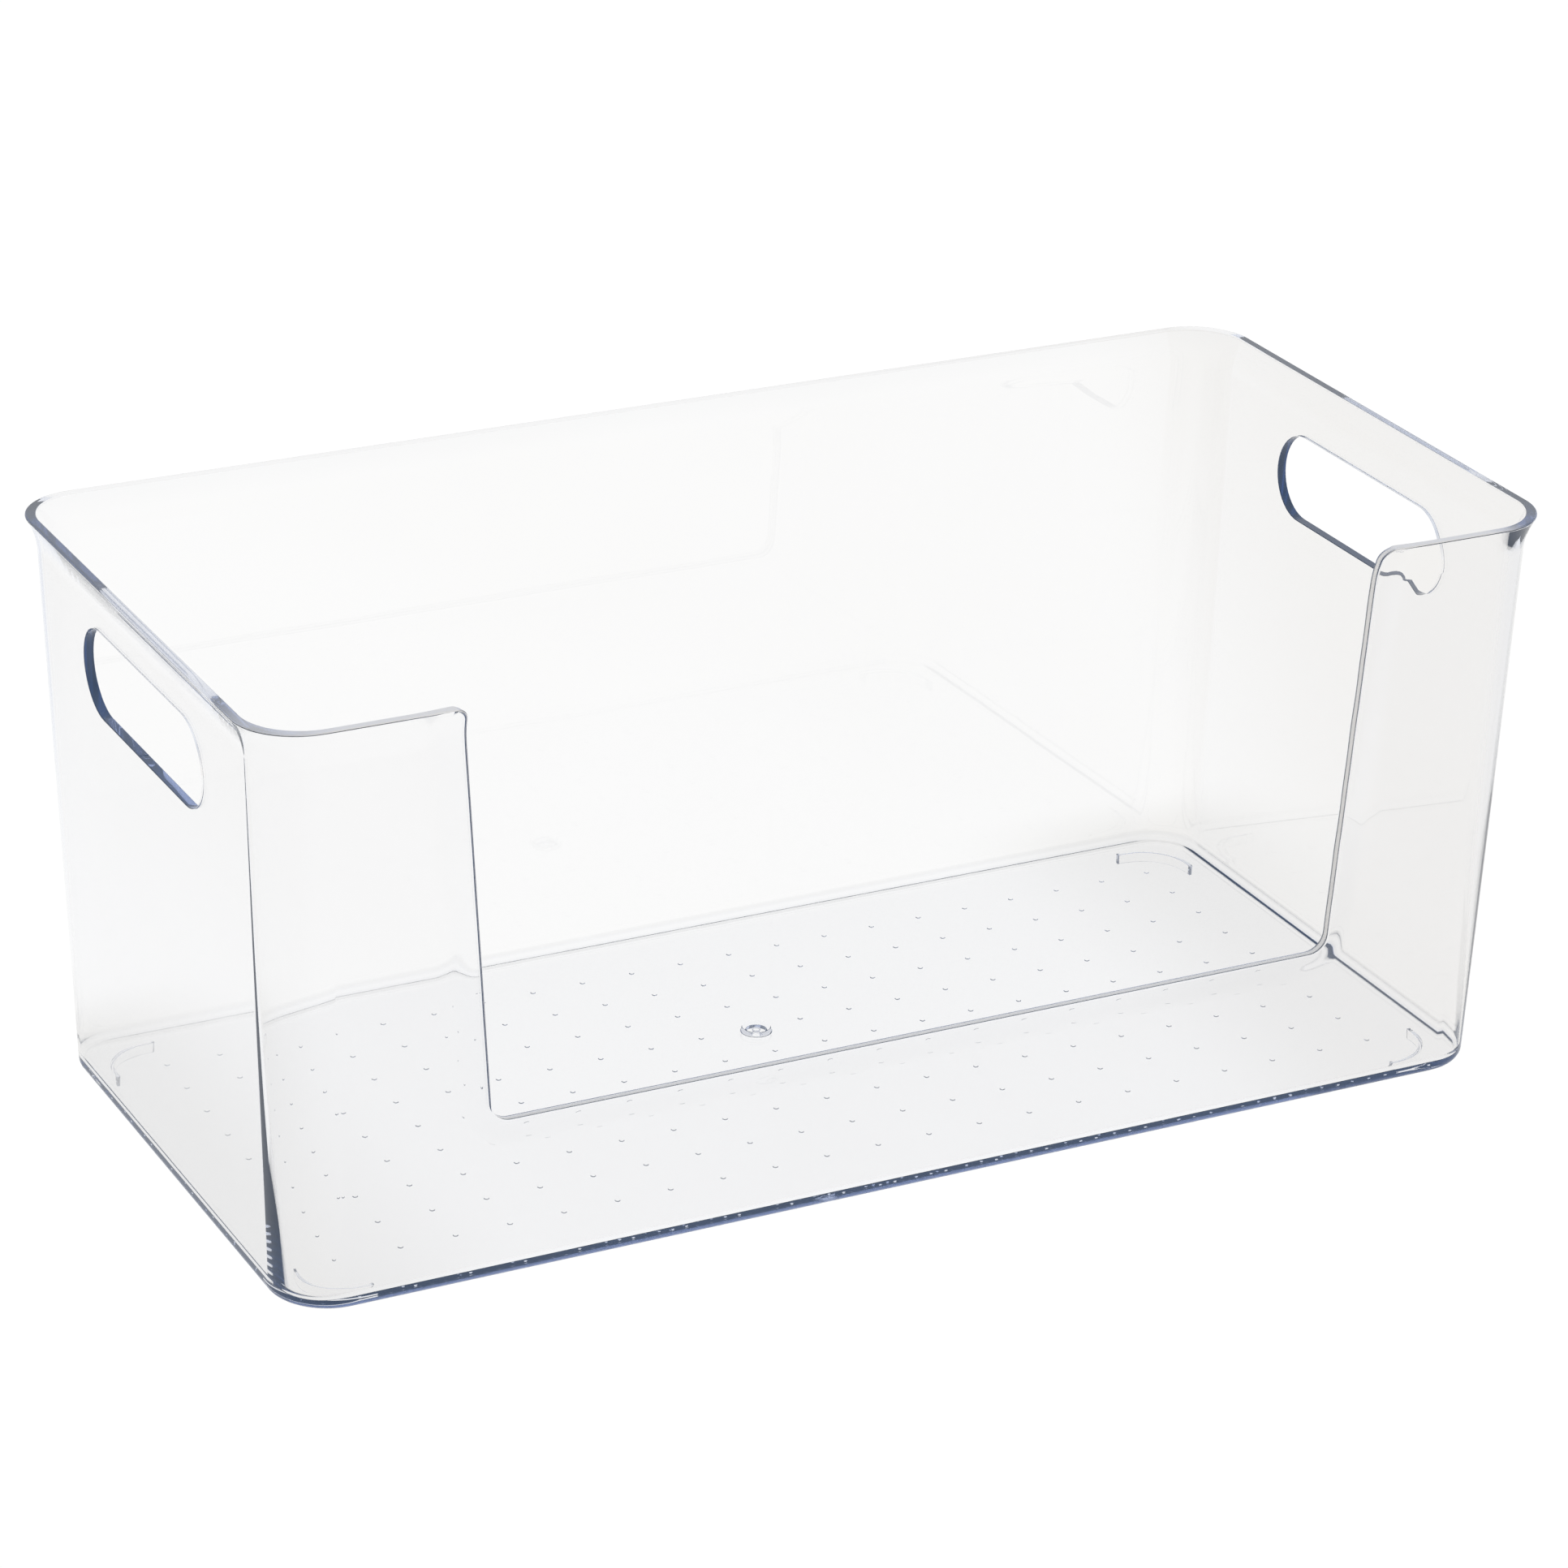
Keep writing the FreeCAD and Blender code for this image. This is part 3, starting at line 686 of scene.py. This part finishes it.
def mesh_object(name, mesh):
    """A closed Blender mesh from the gathered parts, welded, with their normals."""
    points = np.vstack(mesh.points) * MM
    normals = np.vstack(mesh.normals)
    work = bmesh.new()
    kept = work.verts.layers.float_vector.new("kept_normal")
    dull = work.verts.layers.float.new("dull")
    for point, normal, value in zip(points, normals, np.concatenate(mesh.dull)):
        vert = work.verts.new(point)
        vert[kept] = normal
        vert[dull] = value
    work.verts.ensure_lookup_table()
    for face in mesh.faces:
        made = work.faces.new([work.verts[i] for i in face])
        made.smooth = True
    bmesh.ops.remove_doubles(work, verts=work.verts, dist=WELD)
    loose = [vert for vert in work.verts if not vert.link_faces]
    bmesh.ops.delete(work, geom=loose, context="VERTS")
    open_edges = [edge for edge in work.edges if len(edge.link_faces) != 2]
    if open_edges:
        places = [tuple(round(c / MM, 2) for c in edge.verts[0].co) for edge in open_edges[:6]]
        raise ValueError(f"{name} has {len(open_edges)} open edges, at {places}")
    vertex_normals = [Vector(vert[kept]).normalized() for vert in work.verts]
    work.verts.layers.float_vector.remove(kept)
    data = bpy.data.meshes.new(name)
    work.to_mesh(data)
    work.free()
    data.normals_split_custom_set_from_vertices(vertex_normals)
    made = bpy.data.objects.new(name, data)
    bpy.context.scene.collection.objects.link(made)
    return made


# ---------------------------------------------------------------- materials


class Nodes:
    """Short calls for building a node tree."""

    def __init__(self, tree):
        self.tree = tree
        tree.nodes.clear()

    def add(self, kind, inputs=None, **settings):
        """A new node: inputs are values or sockets to link, settings are its own properties."""
        node = self.tree.nodes.new(kind)
        for name, value in settings.items():
            setattr(node, name, value)
        for name, value in (inputs or {}).items():
            if isinstance(value, bpy.types.NodeSocket):
                self.tree.links.new(value, node.inputs[name])
            else:
                node.inputs[name].default_value = value
        return node


def clear_plastic():
    """Clear moulded plastic: a slightly wavy and uneven surface, and navy in its depth.

    Its volume absorbs red and green and glows faintly, which stands in for scattered light. The
    mesh's "dull" values mix in a matt finish."""
    material = bpy.data.materials.new("clear_plastic")
    material.use_nodes = True
    nodes = Nodes(material.node_tree)
    place = nodes.add("ShaderNodeTexCoord").outputs["Object"]
    broad = nodes.add("ShaderNodeTexNoise", {"Vector": place, "Scale": 18.0, "Detail": 2.0})
    fine = nodes.add("ShaderNodeTexNoise", {"Vector": place, "Scale": 900.0, "Detail": 3.0})
    bump = nodes.add("ShaderNodeBump", {"Height": broad.outputs["Fac"], "Strength": 0.06,
                                        "Distance": 0.0006})
    smooth = nodes.add("ShaderNodeMapRange", {"Value": fine.outputs["Fac"], "To Min": 0.0,
                                              "To Max": 0.02})
    tint = nodes.add("ShaderNodeMix", {"Factor": broad.outputs["Fac"],
                                       "A": (0.985, 0.98, 0.972, 1), "B": (0.998, 0.994, 0.988, 1)},
                     data_type="RGBA")
    surface = nodes.add("ShaderNodeBsdfPrincipled", {
        "Base Color": tint.outputs["Result"], "Roughness": smooth.outputs["Result"],
        "IOR": 1.57, "Transmission Weight": 1.0, "Normal": bump.outputs["Normal"]})
    absorbed = nodes.add("ShaderNodeVolumeAbsorption", {"Color": (0.28, 0.38, 0.64, 1),
                                                        "Density": 12.0})
    glow = nodes.add("ShaderNodeEmission", {"Color": (0.26, 0.54, 1.0, 1), "Strength": 1.0})
    depth = nodes.add("ShaderNodeAddShader", {0: absorbed.outputs["Volume"],
                                              1: glow.outputs["Emission"]})
    dull = nodes.add("ShaderNodeAttribute", attribute_name="dull")
    matt = nodes.add("ShaderNodeBsdfDiffuse", {"Color": (1.0, 0.97, 0.92, 1)})
    finish = nodes.add("ShaderNodeMixShader", {0: dull.outputs["Fac"],
                                               1: surface.outputs["BSDF"],
                                               2: matt.outputs["BSDF"]})
    nodes.add("ShaderNodeOutputMaterial", {"Surface": finish.outputs["Shader"],
                                           "Volume": depth.outputs["Shader"]})
    return material


# What the camera sees directly of the floor and the surroundings: a little over white, so that
# both come out as pure white.
CAMERA_WHITE = (1.02, 1.02, 1.02, 1)


def studio_white():
    """White to the camera; seen through the plastic it is a pale table with painted shade in two
    places.

    A painted shadow lies under the bin's ends, and a painted shade darkens the table beyond its
    sides."""
    material = bpy.data.materials.new("studio_white")
    material.use_nodes = True
    nodes = Nodes(material.node_tree)
    place = nodes.add("ShaderNodeTexCoord").outputs["Object"]
    split = nodes.add("ShaderNodeSeparateXYZ", {"Vector": place})
    shade = []
    # Painted shadow: the table darkens under the bin's ends, where the end walls would shade it.
    for axis, bounds in (("X", (0.11, 0.19)), ("X", (0.26, 0.21)), ("Y", (0.14, 0.10))):
        reach = nodes.add("ShaderNodeMath", {0: split.outputs[axis]}, operation="ABSOLUTE")
        edge = nodes.add("ShaderNodeMapRange", {"Value": reach.outputs[0], "From Min": bounds[0],
                                                "From Max": bounds[1]},
                         interpolation_type="SMOOTHSTEP")
        shade.append(edge.outputs["Result"])
    along = nodes.add("ShaderNodeMath", {0: shade[0], 1: shade[1]}, operation="MULTIPLY")
    under = nodes.add("ShaderNodeMath", {0: along.outputs[0], 1: shade[2]}, operation="MULTIPLY")
    # B is the colour of the painted shadow under the ends.
    table = nodes.add("ShaderNodeMix", {"Factor": under.outputs[0],
                                        "A": (1.0, 1.0, 0.995, 1), "B": (0.89, 0.885, 0.87, 1)},
                      data_type="RGBA")
    # Painted shade: the table darkens beyond the bin's sides, to its left and to its right; B below
    # is the colour of this painted shade.
    behind = nodes.add("ShaderNodeMath", {0: split.outputs["Y"], 1: -0.5,
                                          2: split.outputs["X"]}, operation="MULTIPLY_ADD")
    right = nodes.add("ShaderNodeMapRange", {"Value": behind.outputs[0], "From Min": 0.13,
                                             "From Max": 0.24}, interpolation_type="SMOOTHSTEP")
    left = nodes.add("ShaderNodeMapRange", {"Value": split.outputs["X"], "From Min": -0.22,
                                            "From Max": -0.35}, interpolation_type="SMOOTHSTEP")
    painted_side_shade = nodes.add("ShaderNodeMath", {0: right.outputs["Result"], 1: left.outputs["Result"]},
                      operation="MAXIMUM")
    table = nodes.add("ShaderNodeMix", {"Factor": painted_side_shade.outputs[0],
                                        "A": table.outputs["Result"],
                                        "B": (0.925, 0.915, 0.895, 1)}, data_type="RGBA")
    direct = nodes.add("ShaderNodeLightPath").outputs["Is Camera Ray"]
    seen = nodes.add("ShaderNodeMix", {"Factor": direct, "A": table.outputs["Result"],
                                       "B": CAMERA_WHITE}, data_type="RGBA")
    light = nodes.add("ShaderNodeEmission", {"Color": seen.outputs["Result"]})
    nodes.add("ShaderNodeOutputMaterial", {"Surface": light.outputs["Emission"]})
    return material


# ---------------------------------------------------------------- the setting


def studio_floor():
    """A wide level floor, half a millimetre under the feet so that it touches nothing."""
    half = 30.0
    level = -0.5 * MM
    data = bpy.data.meshes.new("studio_floor")
    corners = [(-half, -half, level), (half, -half, level),
               (half, half, level), (-half, half, level)]
    data.from_pydata(corners, [], [(0, 1, 2, 3)])
    floor = bpy.data.objects.new("studio_floor", data)
    bpy.context.scene.collection.objects.link(floor)
    data.materials.append(studio_white())


# Colour of the surroundings by the sine of the angle above the horizon.
SKY = ((0.0, (0.95, 0.95, 0.95)), (0.2, (0.86, 0.86, 0.87)), (0.42, (0.74, 0.75, 0.78)),
       (0.7, (0.62, 0.66, 0.74)), (1.0, (0.85, 0.88, 0.94)))


def studio_world():
    """Soft grey-blue surroundings, white to the camera."""
    world = bpy.data.worlds.new("studio")
    bpy.context.scene.world = world
    world.use_nodes = True
    nodes = Nodes(world.node_tree)
    place = nodes.add("ShaderNodeTexCoord").outputs["Generated"]
    split = nodes.add("ShaderNodeSeparateXYZ", {"Vector": place})
    ramp = nodes.add("ShaderNodeValToRGB", {"Fac": split.outputs["Z"]})
    stops = ramp.color_ramp.elements
    while len(stops) < len(SKY):
        stops.new(0.5)
    for stop, (height, colour) in zip(stops, SKY):
        stop.position = height
        stop.color = (*colour, 1)
    direct = nodes.add("ShaderNodeLightPath").outputs["Is Camera Ray"]
    seen = nodes.add("ShaderNodeMix", {"Factor": direct, "A": ramp.outputs["Color"],
                                       "B": CAMERA_WHITE}, data_type="RGBA")
    light = nodes.add("ShaderNodeBackground", {"Color": seen.outputs["Result"]})
    nodes.add("ShaderNodeOutputWorld", {"Surface": light.outputs["Background"]})


CAMERA_PLACE = Vector((-0.6739, -1.3198, 0.7415))
CAMERA_YAW = math.radians(-27.084)
CAMERA_PITCH = math.radians(23.635)
CAMERA_ROLL = math.radians(1.260)
CAMERA_LENS = 125.5


def photo_camera():
    """The photograph's viewpoint, worked out from the bin's own edges and nibs."""
    data = bpy.data.cameras.new("photo_camera")
    data.lens = CAMERA_LENS
    data.sensor_width = 36.0
    data.clip_end = 100.0
    camera = bpy.data.objects.new("photo_camera", data)
    bpy.context.scene.collection.objects.link(camera)
    forward = Vector((-math.sin(CAMERA_YAW) * math.cos(CAMERA_PITCH),
                      math.cos(CAMERA_YAW) * math.cos(CAMERA_PITCH), -math.sin(CAMERA_PITCH)))
    level = Vector((math.cos(CAMERA_YAW), math.sin(CAMERA_YAW), 0))
    above = level.cross(forward)
    right = math.cos(CAMERA_ROLL) * level + math.sin(CAMERA_ROLL) * above
    up = math.cos(CAMERA_ROLL) * above - math.sin(CAMERA_ROLL) * level
    turn = Matrix((right, up, -forward)).transposed().to_4x4()
    camera.matrix_world = Matrix.Translation(CAMERA_PLACE) @ turn
    bpy.context.scene.camera = camera


BOUNCES = 16


def light_paths():
    """Enough bounces to see through the walls, few enough for light trapped in them to fade."""
    scene = bpy.context.scene
    scene.cycles.max_bounces = BOUNCES
    scene.cycles.glossy_bounces = BOUNCES
    scene.cycles.transmission_bounces = BOUNCES
    scene.view_settings.view_transform = "Standard"


shell = mesh_object("bin_shell", shell_mesh())
shell.data.materials.append(clear_plastic())
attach(shell, "root")
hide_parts("bin_body")

studio_floor()
studio_world()
photo_camera()
light_paths()
